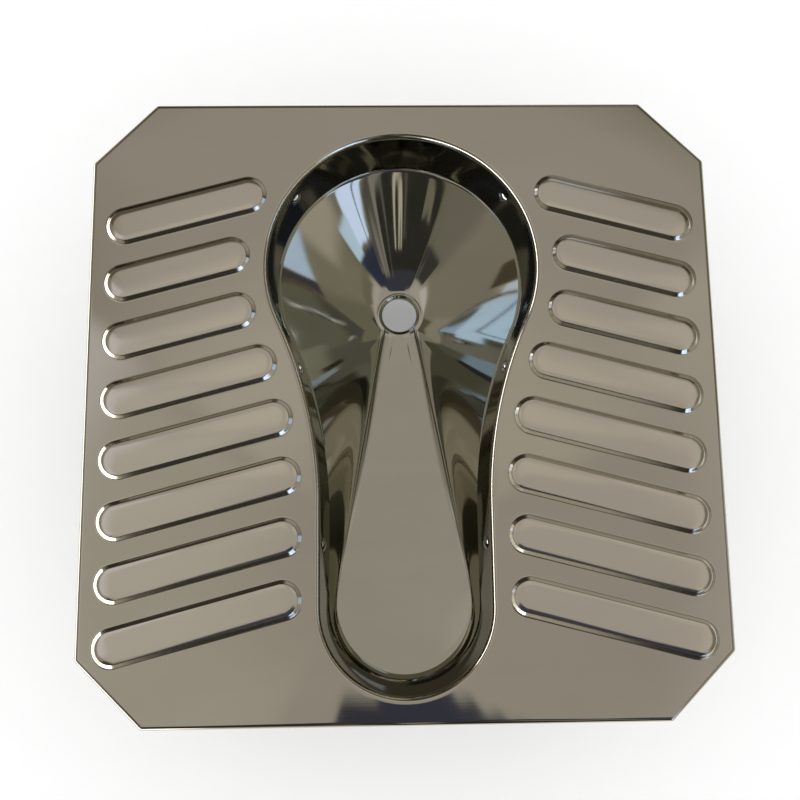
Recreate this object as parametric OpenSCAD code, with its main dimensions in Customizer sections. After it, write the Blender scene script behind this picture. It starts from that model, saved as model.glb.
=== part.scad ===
// Pressed steel squat toilet pan: treaded deck, collar with flush nozzles, funnel bowl, pipework and legs.
// X runs across the pan, +Y toward the outlet end (the user's front), Z up. The floor is Z = 0.

/* [Deck] */
// Width of the deck across X
deck_w = 600; // [584:2:640]
// Length of the deck along Y
deck_l = 594; // [586:2:620]
// Height of the deck surface above the floor
deck_h = 262; // [240:2:320]
// Length cut from each side at a corner
corner_cut = 61; // [50:1:66]
// Thickness of the steel sheet
sheet_t = 1.5; // [1.2:0.1:2]
// Height of the folded skirt
skirt_h = 22; // [16:1:30]
// Outer radius of the folded edge
fold_r = 4; // [3:0.5:6]

/* [Mouth] */
// Radius of the wide round end of the mouth
mouth_r = 134; // [128:1:138]
// Flat deck kept between the wide end and the front edge
mouth_front_gap = 31; // [28:0.5:40]
// Half width of the narrow slot
slot_half_w = 83; // [78:1:86]
// Radius of the hollow curve that joins the wide end to the slot
waist_r = 418; // [380:2:460]
// Flat deck kept between the slot's round end and the rear edge
mouth_rear_gap = 21; // [17:0.5:28]
// Radius of the rolled rim
rim_r = 4; // [3:0.5:5]

/* [Collar and bowl] */
// Depth of the collar foot below the deck surface
collar_depth = 69; // [62:1:76]
// How far the collar foot lies inside the mouth line
collar_inset = 9.3; // [8:0.1:12]
// Depth of the outlet lip below the deck surface
bowl_depth = 129.5; // [120:0.5:150]
// Radius of the outlet hole
outlet_r = 18.6; // [16:0.2:21]
// Radius of the flat lip round the outlet hole
lip_r = 23; // [22:0.5:26]
// How far the outlet lies behind the centre of the wide end
outlet_back = 17.6; // [12:0.2:24]
// Hollowness of the bowl wall at the front
front_curve = 1.7; // [1:0.05:1.9]
// Hollowness of the bowl wall along the sides and round the slot
side_curve = 1.55; // [1:0.05:1.9]
// Height of the soft ridge that fans out from the outlet to the front
ridge_h = 3.2; // [0:0.2:5]
// Spread of that ridge to each side, in degrees
ridge_spread = 23.5; // [10:0.5:30]

/* [Tongue] */
// Radius of the tongue's round rear end
tongue_r = 68.5; // [60:0.5:70]
// How far the centre of that end lies behind the centre of the slot's round end
tongue_back = 3; // [-4:0.5:4]
// Angle by which each tongue side closes toward the outlet
tongue_taper = 10.2; // [8:0.2:10.6]
// Step down from the collar foot to the tongue's rear edge
tongue_step = 7.5; // [2:0.5:12]
// Sag of the tongue along its centre line
tongue_sag = 2; // [0:0.2:3]

/* [Treads] */
// Spacing of the treads along Y
tread_pitch = 56.6; // [52:0.2:64]
// Deck kept in front of the first tread's outer end
tread_front_gap = 125.5; // [122:0.5:140]
// Least deck kept behind the last tread's outer end
tread_rear_gap = 60; // [58:1:80]
// Slope of each tread toward the mouth, in degrees
tread_angle = 14.7; // [8:0.1:16]
// Half width of a tread at its foot
tread_r = 18.5; // [15:0.5:20]
// Height of a tread above the deck
tread_h = 4; // [2.5:0.5:5]
// Width of the tread's sloping side
tread_side = 4.5; // [3:0.5:6]
// Flat deck kept between a tread and the mouth
tread_gap = 12; // [8:1:20]
// Flat deck kept between a tread and the deck edge
tread_margin = 15.5; // [12:0.5:20]

/* [Flush line] */
// Depth of the flush nozzles below the deck surface
nozzle_depth = 25; // [22:1:30]
// Radius of a nozzle head
nozzle_r = 6.5; // [5:0.5:7.5]
// Height of a nozzle head
nozzle_h = 2.6; // [2:0.2:3.4]
// Direction of the front nozzles round the wide end, in degrees
nozzle_front_angle = 36; // [30:1:42]
// Direction of the middle nozzles round the waist, in degrees
nozzle_mid_angle = 18.5; // [16:0.5:20]
// How far the rear nozzles lie behind the end of the waist
nozzle_rear_gap = 34.8; // [24:0.2:58]
// Outer radius of the flush tube
tube_r = 6; // [5:0.5:6.5]

/* [Outlet and frame] */
// Outer radius of the outlet spigot
spigot_r = 30.15; // [29:0.05:31.75]
// Length of the outlet spigot
spigot_len = 36; // [30:1:40]
// Distance of the leg centres in from the deck's long sides
leg_inset_x = 85; // [70:1:95]
// Distance of the leg centres in from the deck's front and rear edges
leg_inset_y = 85; // [77:1:107]
// Side of the square leg tube
leg_w = 30; // [24:1:34]
// Radius of the anchor hole in each foot
anchor_r = 4.5; // [3.5:0.5:5.5]

/* [Hidden] */
$fn = 96;

// Mouth outline: a wide circle and a slot joined by waist arcs that touch both.
mouth_y = deck_l / 2 - mouth_front_gap - mouth_r;
slot_y = mouth_rear_gap + slot_half_w - deck_l / 2;
waist_x = slot_half_w + waist_r;
waist_a = acos(waist_x / (mouth_r + waist_r));
waist_y = mouth_y - (mouth_r + waist_r) * sin(waist_a);
slot_run_len = waist_y - slot_y;
big = 1000;
// Half width of the mouth line moved outward by q, at height y
function half_w(y, q) =
    y >= mouth_y - (mouth_r + q) * sin(waist_a)
        ? sqrt(max(0, pow(mouth_r + q, 2) - pow(y - mouth_y, 2)))
        : y >= waist_y
            ? waist_x - sqrt(pow(waist_r - q, 2) - pow(y - waist_y, 2))
            : y >= slot_y ? slot_half_w + q
            : sqrt(max(0, pow(slot_half_w + q, 2) - pow(y - slot_y, 2)));

// Collar wall: straight draft from the rim roll down to the foot.
wall_drop = collar_depth - rim_r;
wall_in = collar_inset - rim_r;
draft_a = atan(wall_in / wall_drop);
foot_flange = 11;
foot_z = deck_h - collar_depth;

// Flush line: depth and offset of the tube's centre line behind the collar.
nozzle_q = -rim_r - wall_in * (nozzle_depth - rim_r) / wall_drop;
nozzle_rear_y = waist_y - nozzle_rear_gap;
tee_off = 18;
tube_z = deck_h - nozzle_depth - tee_off * sin(draft_a);
tube_q = nozzle_q + tee_off * cos(draft_a);
tube_wall = 1;
tube_grip = 8;
tee_r = tube_r + 2;
tee_half = 13;
branch_r = 6.5;
shank_r = 4;
fit_gap = 0.1;
jet_r = 1.2;
jet_tilt = 20;
seal_t = 1.5;
nut_t = 4;
nut_af = 13;

// Inlet: a half-inch male end that points down.
inlet_r = 10.48;
inlet_len = 16;
inlet_hex_af = 24;
inlet_hex_t = 8;
inlet_bore = 6.5;
inlet_clear = 2;
inlet_drop = tube_z - foot_z + sheet_t + inlet_clear;
inlet_plug = 8;

rim_lap = 4;
roll_n = 6;
prism_n = 100;
bridge_l = 4;
bridge_in = 0.2;
clip_t = 1.5;
clip_w = 10;
clip_foot = 12;
clip_front_a = 62;
clip_side_a = 15;

spigot_t = 1.5;
spigot_top = 3;

leg_x = deck_w / 2 - leg_inset_x;
leg_y = deck_l / 2 - leg_inset_y;
rail_half = 20;
rail_lip = 12;
rail_d = 20;
rail_t = 2;
rail_len = 2 * leg_y + 66;

leg_t = 2;
foot_w = 50;
foot_l = 80;
foot_t = 4;
anchor_off = 38;

steel = [0.72, 0.70, 0.66];
brass = [0.75, 0.62, 0.33];
dark = [0.12, 0.12, 0.12];

// ---------- shared forms ----------

// Moves the child along Y in a coarse and a fine step, so that tangent curves still meet to the last decimal
module shift_y(v) {
    coarse = round(1000 * v) / 1000;
    translate([0, coarse, 0]) translate([0, v - coarse, 0]) children();
}

// Half space on the front side of the joint between the wide end and the waist (or the rear side)
module past_joint(front) translate([0, mouth_y, -big / 2]) rotate([0, 0, -waist_a])
    translate([-big, front ? 0 : -big, 0]) cube([2 * big, big, big]);

// Half space on the front side of the line where the waist becomes the slot (or the rear side)
module past_waist(front) shift_y(waist_y) translate([0, front ? 0 : -big, -big / 2]) cube([big, big, big]);

// Solid prism inside the mouth line moved outward by q, its curves stepped finely
module mouth_prism(q, z0, h) {
    y1 = mouth_y + mouth_r + q;
    y0 = slot_y - slot_half_w - q;
    ys = [for (k = [1 : prism_n - 1]) y1 - (y1 - y0) * (0.5 - 0.5 * cos(180 * k / prism_n))];
    translate([0, 0, z0]) linear_extrude(h) polygon(concat([[0, y1]], [for (y = ys) [half_w(y, q), y]],
        [[0, y0]], reversed([for (y = ys) [-half_w(y, q), y]])));
}

// Sweeps the 2D child (x outward from the mouth line, y up) right round the mouth
module mouth_sweep() {
    for (s = [0, 1]) mirror([s, 0, 0]) {
        intersection() {
            translate([0, mouth_y, 0]) rotate_extrude() translate([mouth_r, 0]) children();
            past_joint(true);
            translate([0, -big, -big]) cube(2 * big);
        }
        intersection() {
            shift_y(waist_y) translate([waist_x, 0, 0])
                rotate_extrude() translate([waist_r, 0]) mirror([1, 0]) children();
            past_joint(false);
            past_waist(true);
        }
        intersection() {
            translate([slot_half_w, mouth_y, 0]) rotate([90, 0, 0]) linear_extrude(mouth_y - slot_y) children();
            past_waist(false);
        }
    }
    translate([0, slot_y, 0]) rotate([0, 0, 180])
        rotate_extrude(angle = 180) translate([slot_half_w, 0]) children();
}

// A tread's outer or inner body: two cones and the wedge between them
module tread_body(r0, r1, h, len) {
    cylinder(r1 = r0, r2 = r1, h = h);
    translate([len, 0, 0]) cylinder(r1 = r0, r2 = r1, h = h);
    rotate([90, 0, 90]) linear_extrude(len) polygon([[-r0, 0], [r0, 0], [r1, h], [-r1, h]]);
}

tread_outer_x = deck_w / 2 - tread_margin - tread_r;
tread_first_y = deck_l / 2 - tread_front_gap;
tread_count = floor((deck_l - tread_front_gap - tread_rear_gap) / tread_pitch) + 1;
// X of a tread's inner end, found by stepping along its slope until the gap to the mouth is right
function inner_x(yo, x, n) = n == 0 ? x
    : inner_x(yo, half_w(yo + (tread_outer_x - x) * tan(tread_angle), tread_r + tread_gap), n - 1);

// Places the child at the outer end of every tread, pointing inward
module each_tread(r0, r1, h) {
    for (s = [0, 1], i = [0 : tread_count - 1]) mirror([s, 0, 0]) {
        yo = tread_first_y - i * tread_pitch;
        len = (tread_outer_x - inner_x(yo, mouth_r, 12)) / cos(tread_angle);
        translate([tread_outer_x, yo, 0]) rotate([0, 0, 180 - tread_angle]) tread_body(r0, r1, h, len);
    }
}

// Places the child at a nozzle: X outward through the collar wall, Z up along it
module at_nozzle(k, side) {
    a = [nozzle_front_angle, -nozzle_mid_angle, 0][k];
    p = k == 0 ? [(mouth_r + nozzle_q) * cos(a), mouth_y + (mouth_r + nozzle_q) * sin(a)]
        : k == 1 ? [waist_x - (waist_r - nozzle_q) * cos(a), waist_y - (waist_r - nozzle_q) * sin(a)]
        : [slot_half_w + nozzle_q, nozzle_rear_y];
    mirror([side < 0 ? 1 : 0, 0, 0])
        translate([p[0], p[1], deck_h - nozzle_depth]) rotate([0, draft_a, a]) children();
}

// Arc of the flush path round the wide end, from angle a0 to a1, with tube radius r
module front_arc(a0, a1, r) {
    translate([0, mouth_y, tube_z]) rotate([0, 0, a0])
        rotate_extrude(angle = a1 - a0) translate([mouth_r + tube_q, 0]) circle(r = r);
}

// Arc of the flush path round the waist, a0 and a1 measured up from the slot's straight
module waist_arc(a0, a1, r) {
    translate([waist_x, waist_y, tube_z]) rotate([0, 0, 180 - a1])
        rotate_extrude(angle = a1 - a0) translate([waist_r - tube_q, 0]) circle(r = r);
}

// Straight stretch of the flush path along the slot
module slot_run(y0, y1, r) {
    translate([slot_half_w + tube_q, y1, tube_z]) rotate([90, 0, 0]) cylinder(r = r, h = y1 - y0);
}

front_r = mouth_r + tube_q;
back_r = waist_r - tube_q;
tee_front_da = tee_half * 180 / PI / front_r;
tee_back_da = tee_half * 180 / PI / back_r;
grip_front_da = tube_grip * 180 / PI / front_r;
grip_back_da = tube_grip * 180 / PI / back_r;

// ---------- bowl surface ----------

outlet_y = mouth_y - outlet_back;
tongue_y = slot_y - tongue_back;
bowl_inset = collar_inset;
bowl_zr = foot_z - tongue_step;
bowl_zo = deck_h - bowl_depth;
tongue_y0 = outlet_y - lip_r;
tongue_y1 = tongue_y - tongue_r;
// Height of the floor of the tongue, which falls evenly to the outlet lip
function tongue_z(y) = y > tongue_y0 ? bowl_zo
    : bowl_zo + (bowl_zr - bowl_zo) * (tongue_y0 - y) / (tongue_y0 - tongue_y1);
// Where the straight side of the tongue leaves the outlet lip
side_off = tongue_r + tongue_y * sin(tongue_taper) - outlet_y * sin(tongue_taper);
join_a = tongue_taper - acos(min(0.999, side_off / lip_r));
side_x = tongue_r * cos(tongue_taper);
side_y = tongue_y + tongue_r * sin(tongue_taper);
rim_join_y = mouth_y - (mouth_r - bowl_inset) * sin(waist_a);

front_n = 22;
side_n = 20;
rear_n = 12;
half_n = front_n + side_n + rear_n;
// Station i of the right half: [foot x, foot y, tongue x, tongue y, hollowness]
function blend(a, b, k) = a + (b - a) * (0.5 - 0.5 * cos(180 * k));
function station(i) =
    i < front_n ? let (k = i / front_n, f = 90 - (90 + waist_a) * k, t = 90 + (join_a - 90) * k, r = mouth_r - bowl_inset)
        [r * cos(f), mouth_y + r * sin(f), lip_r * cos(t), outlet_y + lip_r * sin(t),
            blend(front_curve, side_curve, k)]
    : i < front_n + side_n ? let (k = (i - front_n) / side_n, y = rim_join_y + (slot_y - rim_join_y) * k,
            xj = lip_r * cos(join_a), yj = outlet_y + lip_r * sin(join_a))
        [half_w(y, -bowl_inset), y, xj + (side_x - xj) * k, yj + (side_y - yj) * k,
            side_curve]
    : let (k = (i - front_n - side_n) / rear_n, f = -90 * k, t = tongue_taper + (-90 - tongue_taper) * k,
            r = slot_half_w - bowl_inset)
        [r * cos(f), slot_y + r * sin(f), tongue_r * cos(t), tongue_y + tongue_r * sin(t), side_curve];

floor_rings = 3;
wall_rings = 11;
// Points of one station from the outlet hole out to the flange, with the sheet's vertical thickness
function column(i) = let (s = station(i), a = atan2(s[3] - outlet_y, s[2]),
        h = [outlet_r * cos(a), outlet_y + outlet_r * sin(a)], t = [s[2], s[3]], f = [s[0], s[1]],
        zt = tongue_z(s[3]), run = norm(f - t), zf = foot_z)
    concat(
        [for (j = [0 : floor_rings - 1]) let (u = j / floor_rings, p = h + (t - h) * u)
            [p[0], p[1], tongue_z(p[1]) - sag(i, p[1]) * (1 - u * u), sheet_t]],
        [for (j = [0 : wall_rings]) let (u = pow(j / wall_rings, 0.9), p = t + (f - t) * u,
                slope = (zf - zt) * s[4] * pow(max(u, 0.02), s[4] - 1) / run)
            [p[0], p[1], zt + (zf - zt) * pow(u, s[4]) + ridge(p[0], p[1], u),
                sheet_t * sqrt(1 + slope * slope)]],
        [let (o = foot_flange / norm(flange_dir(i))) [f[0] + flange_dir(i)[0] * o, f[1] + flange_dir(i)[1] * o, zf, sheet_t]]);
// Soft ridge that fans out in front of the outlet
function ridge(x, y, u) = y < outlet_y - 30 ? 0
    : ridge_h * exp(-pow(atan2(x, y - outlet_y) / ridge_spread, 2) / 2) * 4 * u * u * pow(1 - u, 0.65);
// Sag of the tongue at height y, none at its front stations
function sag(i, y) = i < front_n ? 0 : tongue_sag * sin(180 * min(1, max(0, (outlet_y - y) / 300)));
// Outward direction of the flange at station i
function flange_dir(i) = let (s = station(i), knee_y = mouth_y - mouth_r * sin(waist_a))
    s[1] >= knee_y ? [s[0], s[1] - mouth_y]
    : s[1] >= waist_y ? [waist_x - s[0], waist_y - s[1]]
    : s[1] >= slot_y ? [1, 0] : [s[0], s[1] - slot_y];

// ---------- pieces ----------

module deck_plate() color(steel) translate([0, 0, deck_h]) {
    difference() {
        union() {
            pan_solid(0);
            each_tread(tread_r, tread_r - tread_side, tread_h);
        }
        pan_solid(sheet_t);
        tread_cavities();
        mouth_prism(rim_lap / 2, -sheet_t - 1, sheet_t + 2);
    }
    mouth_sweep() rim_section();
}

// The hollow under each tread keeps the sheet's thickness
module tread_cavities() {
    slope = atan(tread_h / tread_side);
    r_at = tread_r - sheet_t / sin(slope);
    low = sheet_t + 0.5;
    top = tread_h - sheet_t;
    translate([0, 0, -low]) each_tread(r_at + low * tread_side / tread_h, r_at - top * tread_side / tread_h, low + top);
}

// Points of a quarter turn of radius r that starts flat at [0, r] and runs down to [-r, 0]
function roll(r) = [for (i = [0 : roll_n]) [-r * sin(90 * i / roll_n), r * cos(90 * i / roll_n)]];
function reversed(v) = [for (i = [len(v) - 1 : -1 : 0]) v[i]];

// Rolled rim: a quarter turn down into the mouth and a flat strip that runs into the deck sheet
module rim_section() translate([0, -rim_r]) polygon(concat([[rim_lap, rim_r]], roll(rim_r),
    reversed(roll(rim_r - sheet_t)), [[rim_lap, rim_r - sheet_t]]));

// Octagonal block with rolled top edges, drawn in by q: two of them make the sheet and its skirt
module pan_solid(q) intersection() {
    edge_run(deck_w / 2 - q, q, 0);
    edge_run(deck_l / 2 - q, q, 90);
    edge_run((deck_w / 2 + deck_l / 2 - corner_cut) / sqrt(2) - q, q, 45);
    edge_run((deck_w / 2 + deck_l / 2 - corner_cut) / sqrt(2) - q, q, -45);
}

// Long bar, 2 w wide, whose rolled edges run at angle a from Y
module edge_run(w, q, a) rotate([90, 0, a]) linear_extrude(big, center = true) {
    turn = [for (p = roll(fold_r - q)) [w - fold_r + q - p[0], p[1] - fold_r]];
    low = -skirt_h - q;
    polygon(concat([for (p = turn) p], [[w, low], [-w, low]], [for (p = reversed(turn)) [-p[0], p[1]]]));
}

module collar() color(steel) difference() {
    translate([0, 0, deck_h]) {
        mouth_sweep() polygon([
            [-rim_r, -rim_r], [sheet_t - rim_r, -rim_r],
            [sheet_t - rim_r - wall_in * (wall_drop - sheet_t) / wall_drop, sheet_t - collar_depth],
            [foot_flange - collar_inset, sheet_t - collar_depth],
            [foot_flange - collar_inset, -collar_depth], [-collar_inset, -collar_depth]]);
        flange_bridge();
    }
    for (k = [0 : 2], s = [-1, 1]) at_nozzle(k, s)
        translate([-3, 0, 0]) rotate([0, 90, 0]) cylinder(r = shank_r + fit_gap, h = 8);
}

// Bridge inside the foot flange that carries it over the joint between the wide end and the waist
module flange_bridge() for (s = [0, 1]) mirror([s, 0, 0]) translate([0, mouth_y, 0]) rotate([0, 0, -waist_a])
    translate([mouth_r - collar_inset + sheet_t, -bridge_l / 2, bridge_in - collar_depth])
        cube([foot_flange - 2 * sheet_t, bridge_l, sheet_t - 2 * bridge_in]);

module bowl() color(steel) {
    cols = concat([for (i = [0 : half_n]) column(i)],
        [for (i = [half_n - 1 : -1 : 1]) [for (p = column(i)) [-p[0], p[1], p[2], p[3]]]]);
    n = len(cols);
    m = len(cols[0]);
    top = [for (c = cols, p = c) [p[0], p[1], p[2]]];
    low = [for (c = cols, p = c) [p[0], p[1], p[2] - p[3]]];
    o = n * m;
    polyhedron(points = concat(top, low), faces = concat(
        [for (i = [0 : n - 1], j = [0 : m - 2]) let (i2 = (i + 1) % n)
            each [[i * m + j, i * m + j + 1, i2 * m + j + 1], [i * m + j, i2 * m + j + 1, i2 * m + j],
                [o + i * m + j, o + i2 * m + j + 1, o + i * m + j + 1],
                [o + i * m + j, o + i2 * m + j, o + i2 * m + j + 1]]],
        [for (i = [0 : n - 1]) let (i2 = (i + 1) % n)
            each [[i * m, i2 * m, o + i2 * m], [i * m, o + i2 * m, o + i * m],
                [i * m + m - 1, o + i2 * m + m - 1, i2 * m + m - 1],
                [i * m + m - 1, o + i * m + m - 1, o + i2 * m + m - 1]]]));
}

module outlet_spigot() color(steel) translate([0, outlet_y, bowl_zo - sheet_t]) difference() {
    translate([0, 0, -spigot_len]) cylinder(r = spigot_r, h = spigot_len);
    translate([0, 0, -spigot_len - 1]) cylinder(r = spigot_r - spigot_t, h = spigot_len + 1 - spigot_top);
    translate([0, 0, -spigot_len]) cylinder(r = outlet_r, h = spigot_len + 1);
}

module nozzle(k, side) color(brass) at_nozzle(k, side) rotate([0, 90, 0]) difference() {
    union() {
        intersection() {
            cap_r = (pow(nozzle_r, 2) + pow(nozzle_h, 2)) / (2 * nozzle_h);
            translate([0, 0, cap_r - nozzle_h - 0.3]) sphere(r = cap_r);
            translate([0, 0, -nozzle_h - 1]) cylinder(r = nozzle_r + 1, h = nozzle_h + 0.7);
        }
        translate([0, 0, -1]) cylinder(r = shank_r, h = 13.5);
    }
    translate([0, 0, 0.5]) cylinder(r = 2, h = 13);
    rotate([0, -jet_tilt, 0]) translate([0, 0, -nozzle_h - 3]) cylinder(r = jet_r, h = nozzle_h + 5);
}
module nozzle_front_left() nozzle(0, -1);
module nozzle_front_right() nozzle(0, 1);
module nozzle_mid_left() nozzle(1, -1);
module nozzle_mid_right() nozzle(1, 1);
module nozzle_rear_left() nozzle(2, -1);
module nozzle_rear_right() nozzle(2, 1);

seal_x = sheet_t + 0.3;
nut_x = seal_x + seal_t + 0.1;
module nozzle_gaskets() color(dark) for (k = [0 : 2], s = [-1, 1]) at_nozzle(k, s)
    translate([seal_x, 0, 0]) rotate([0, 90, 0]) difference() {
        cylinder(r = nozzle_r + 1, h = seal_t);
        translate([0, 0, -1]) cylinder(r = shank_r + fit_gap, h = seal_t + 2);
    }

module nozzle_nuts() color(brass) for (k = [0 : 2], s = [-1, 1]) at_nozzle(k, s)
    translate([nut_x, 0, 0]) rotate([0, 90, 0]) difference() {
        linear_extrude(nut_t) hexagon(nut_af);
        translate([0, 0, -1]) cylinder(r = shank_r + fit_gap, h = nut_t + 2);
    }

module hexagon(af) {
    c = af / 2 / cos(30);
    polygon([for (i = [0 : 5]) [c * cos(60 * i), c * sin(60 * i)]]);
}

// Branch of a tee toward its nozzle, solid, and the bore that goes through it
module branch(k) at_nozzle(k, 1) translate([tee_off - 9, 0, 0]) rotate([0, 90, 0]) cylinder(r = branch_r, h = 9);
module branch_bore(k) at_nozzle(k, 1) translate([tee_off - 10, 0, 0]) rotate([0, 90, 0])
    cylinder(r = shank_r + fit_gap, h = 10);

module tee_front() color(brass) difference() {
    union() {
        front_arc(nozzle_front_angle - tee_front_da, nozzle_front_angle + tee_front_da, tee_r);
        branch(0);
    }
    front_arc(nozzle_front_angle - tee_front_da - 1, nozzle_front_angle + tee_front_da + 1, tube_r + fit_gap);
    branch_bore(0);
}
module tee_mid() color(brass) difference() {
    union() {
        waist_arc(nozzle_mid_angle - tee_back_da, nozzle_mid_angle + tee_back_da, tee_r);
        branch(1);
    }
    waist_arc(nozzle_mid_angle - tee_back_da - 1, nozzle_mid_angle + tee_back_da + 1, tube_r + fit_gap);
    branch_bore(1);
}
module tee_rear() color(brass) difference() {
    union() {
        slot_run(nozzle_rear_y - tee_half + 2, nozzle_rear_y + tee_half, tee_r);
        branch(2);
    }
    slot_run(nozzle_rear_y - tee_half + 5, nozzle_rear_y + tee_half + 1, tube_r + fit_gap);
    branch_bore(2);
}
module tee_front_left() mirror([1, 0, 0]) tee_front();
module tee_front_right() tee_front();
module tee_mid_left() mirror([1, 0, 0]) tee_mid();
module tee_mid_right() tee_mid();
module tee_rear_left() mirror([1, 0, 0]) tee_rear();
module tee_rear_right() tee_rear();

inlet_y = mouth_y + front_r;
module tee_inlet() color(brass) difference() {
    union() {
        front_arc(90 - tee_front_da, 90 + tee_front_da, tee_r);
        translate([0, inlet_y, tube_z - inlet_drop]) cylinder(r = inlet_bore + 2.5, h = inlet_drop);
    }
    front_arc(90 - tee_front_da - 1, 90 + tee_front_da + 1, tube_r + fit_gap);
    translate([0, inlet_y, tube_z - inlet_drop - 1]) cylinder(r = inlet_bore + fit_gap, h = inlet_drop + 1);
}
module inlet_spigot() color(brass) translate([0, inlet_y, tube_z - inlet_drop]) difference() {
    union() {
        translate([0, 0, -inlet_hex_t]) linear_extrude(inlet_hex_t) hexagon(inlet_hex_af);
        translate([0, 0, -inlet_hex_t - inlet_len]) cylinder(r = inlet_r, h = inlet_len);
        translate([0, 0, -1]) cylinder(r = inlet_bore, h = inlet_plug + 1);
    }
    translate([0, 0, -inlet_hex_t - inlet_len - 1]) cylinder(r = inlet_bore - 1.5, h = 40);
}

module tube_section() difference() {
    circle(r = tube_r);
    circle(r = tube_r - tube_wall);
}
module tube_front() color(steel) {
    a = nozzle_front_angle + tee_front_da - grip_front_da;
    translate([0, mouth_y, tube_z]) rotate([0, 0, a])
        rotate_extrude(angle = 90 - tee_front_da + grip_front_da - a) translate([front_r, 0]) tube_section();
}
// Both bends start at the joint between the wide end and the waist
module tube_mid() color(steel) translate([0, mouth_y, tube_z]) rotate([0, 0, -waist_a]) {
    rotate_extrude(angle = waist_a + nozzle_front_angle - tee_front_da + grip_front_da)
        translate([front_r, 0]) tube_section();
    translate([mouth_r + waist_r, 0, 0]) rotate([0, 0, 180])
        rotate_extrude(angle = waist_a - nozzle_mid_angle - tee_back_da + grip_back_da)
            translate([back_r, 0]) tube_section();
}
// The bend and the straight run start where the waist becomes the slot
module tube_rear() color(steel) translate([waist_x, waist_y, tube_z]) {
    rotate([0, 0, 180]) mirror([0, 1, 0])
        rotate_extrude(angle = nozzle_mid_angle - tee_back_da + grip_back_da)
            translate([back_r, 0]) tube_section();
    translate([-back_r, 0, 0]) rotate([90, 0, 0])
        linear_extrude(waist_y - nozzle_rear_y - tee_half + tube_grip) tube_section();
}
module tube_front_left() mirror([1, 0, 0]) tube_front();
module tube_front_right() tube_front();
module tube_mid_left() mirror([1, 0, 0]) tube_mid();
module tube_mid_right() tube_mid();
module tube_rear_left() mirror([1, 0, 0]) tube_rear();
module tube_rear_right() tube_rear();

// Strap from the deck's underside round the tube, at angle a of the wide end
module clip(a) color(steel) translate([0, mouth_y, 0]) rotate([0, 0, a]) translate([front_r, 0, 0]) {
    ring_r = tube_r + 0.2;
    top_z = deck_h - sheet_t;
    difference() {
        union() {
            translate([0, clip_w / 2, tube_z]) rotate([90, 0, 0]) cylinder(r = ring_r + clip_t, h = clip_w);
            translate([-clip_t / 2, -clip_w / 2, tube_z]) cube([clip_t, clip_w, top_z - tube_z]);
            translate([-clip_foot / 2, -clip_w / 2, top_z - clip_t]) cube([clip_foot, clip_w, clip_t]);
        }
        translate([0, clip_w, tube_z]) rotate([90, 0, 0]) cylinder(r = ring_r, h = 2 * clip_w);
    }
}
module clip_front_left() mirror([1, 0, 0]) clip(clip_front_a);
module clip_front_right() clip(clip_front_a);
module clip_side_left() mirror([1, 0, 0]) clip(clip_side_a);
module clip_side_right() clip(clip_side_a);

// Hat channel welded under the treads
module rail() color(steel) translate([leg_x, rail_len / 2, deck_h - sheet_t]) rotate([90, 0, 0])
    linear_extrude(rail_len) polygon([
        [-rail_half - rail_lip, 0], [-rail_half, 0], [rail_t - rail_half, rail_t - rail_d],
        [rail_half - rail_t, rail_t - rail_d], [rail_half, 0], [rail_half + rail_lip, 0],
        [rail_half + rail_lip, -rail_t], [rail_half, -rail_t], [rail_half, -rail_d],
        [-rail_half, -rail_d], [-rail_half, -rail_t], [-rail_half - rail_lip, -rail_t]]);
module rail_left() mirror([1, 0, 0]) rail();
module rail_right() rail();

leg_top = deck_h - sheet_t - rail_d;
module leg(sx, sy) color(steel) translate([sx * leg_x, sy * leg_y, foot_t]) linear_extrude(leg_top - foot_t)
    difference() {
        square([leg_w, leg_w], center = true);
        square([leg_w - 2 * leg_t, leg_w - 2 * leg_t], center = true);
    }
module leg_front_left() leg(-1, 1);
module leg_front_right() leg(1, 1);
module leg_rear_left() leg(-1, -1);
module leg_rear_right() leg(1, -1);

module foot(sx, sy) color(steel) translate([sx * leg_x, sy * leg_y, 0]) difference() {
    translate([-foot_w / 2, sy > 0 ? -leg_w / 2 : leg_w / 2 - foot_l, 0]) cube([foot_w, foot_l, foot_t]);
    translate([0, sy * anchor_off, -1]) cylinder(r = anchor_r, h = foot_t + 2);
}
module foot_front_left() foot(-1, 1);
module foot_front_right() foot(1, 1);
module foot_rear_left() foot(-1, -1);
module foot_rear_right() foot(1, -1);

deck_plate();
collar();
bowl();
outlet_spigot();
nozzle_front_left();
nozzle_front_right();
nozzle_mid_left();
nozzle_mid_right();
nozzle_rear_left();
nozzle_rear_right();
nozzle_gaskets();
nozzle_nuts();
tee_front_left();
tee_front_right();
tee_mid_left();
tee_mid_right();
tee_rear_left();
tee_rear_right();
tee_inlet();
inlet_spigot();
tube_front_left();
tube_front_right();
tube_mid_left();
tube_mid_right();
tube_rear_left();
tube_rear_right();
clip_front_left();
clip_front_right();
clip_side_left();
clip_side_right();
rail_left();
rail_right();
leg_front_left();
leg_front_right();
leg_rear_left();
leg_rear_right();
foot_front_left();
foot_front_right();
foot_rear_left();
foot_rear_right();
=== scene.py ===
"""Looks of the pressed steel squat toilet pan: smooth sheets over the CAD frame, finishes, studio, camera."""
from math import acos, asin, atan2, cos, degrees, exp, hypot, pi, radians, sin, sqrt, tan

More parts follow.
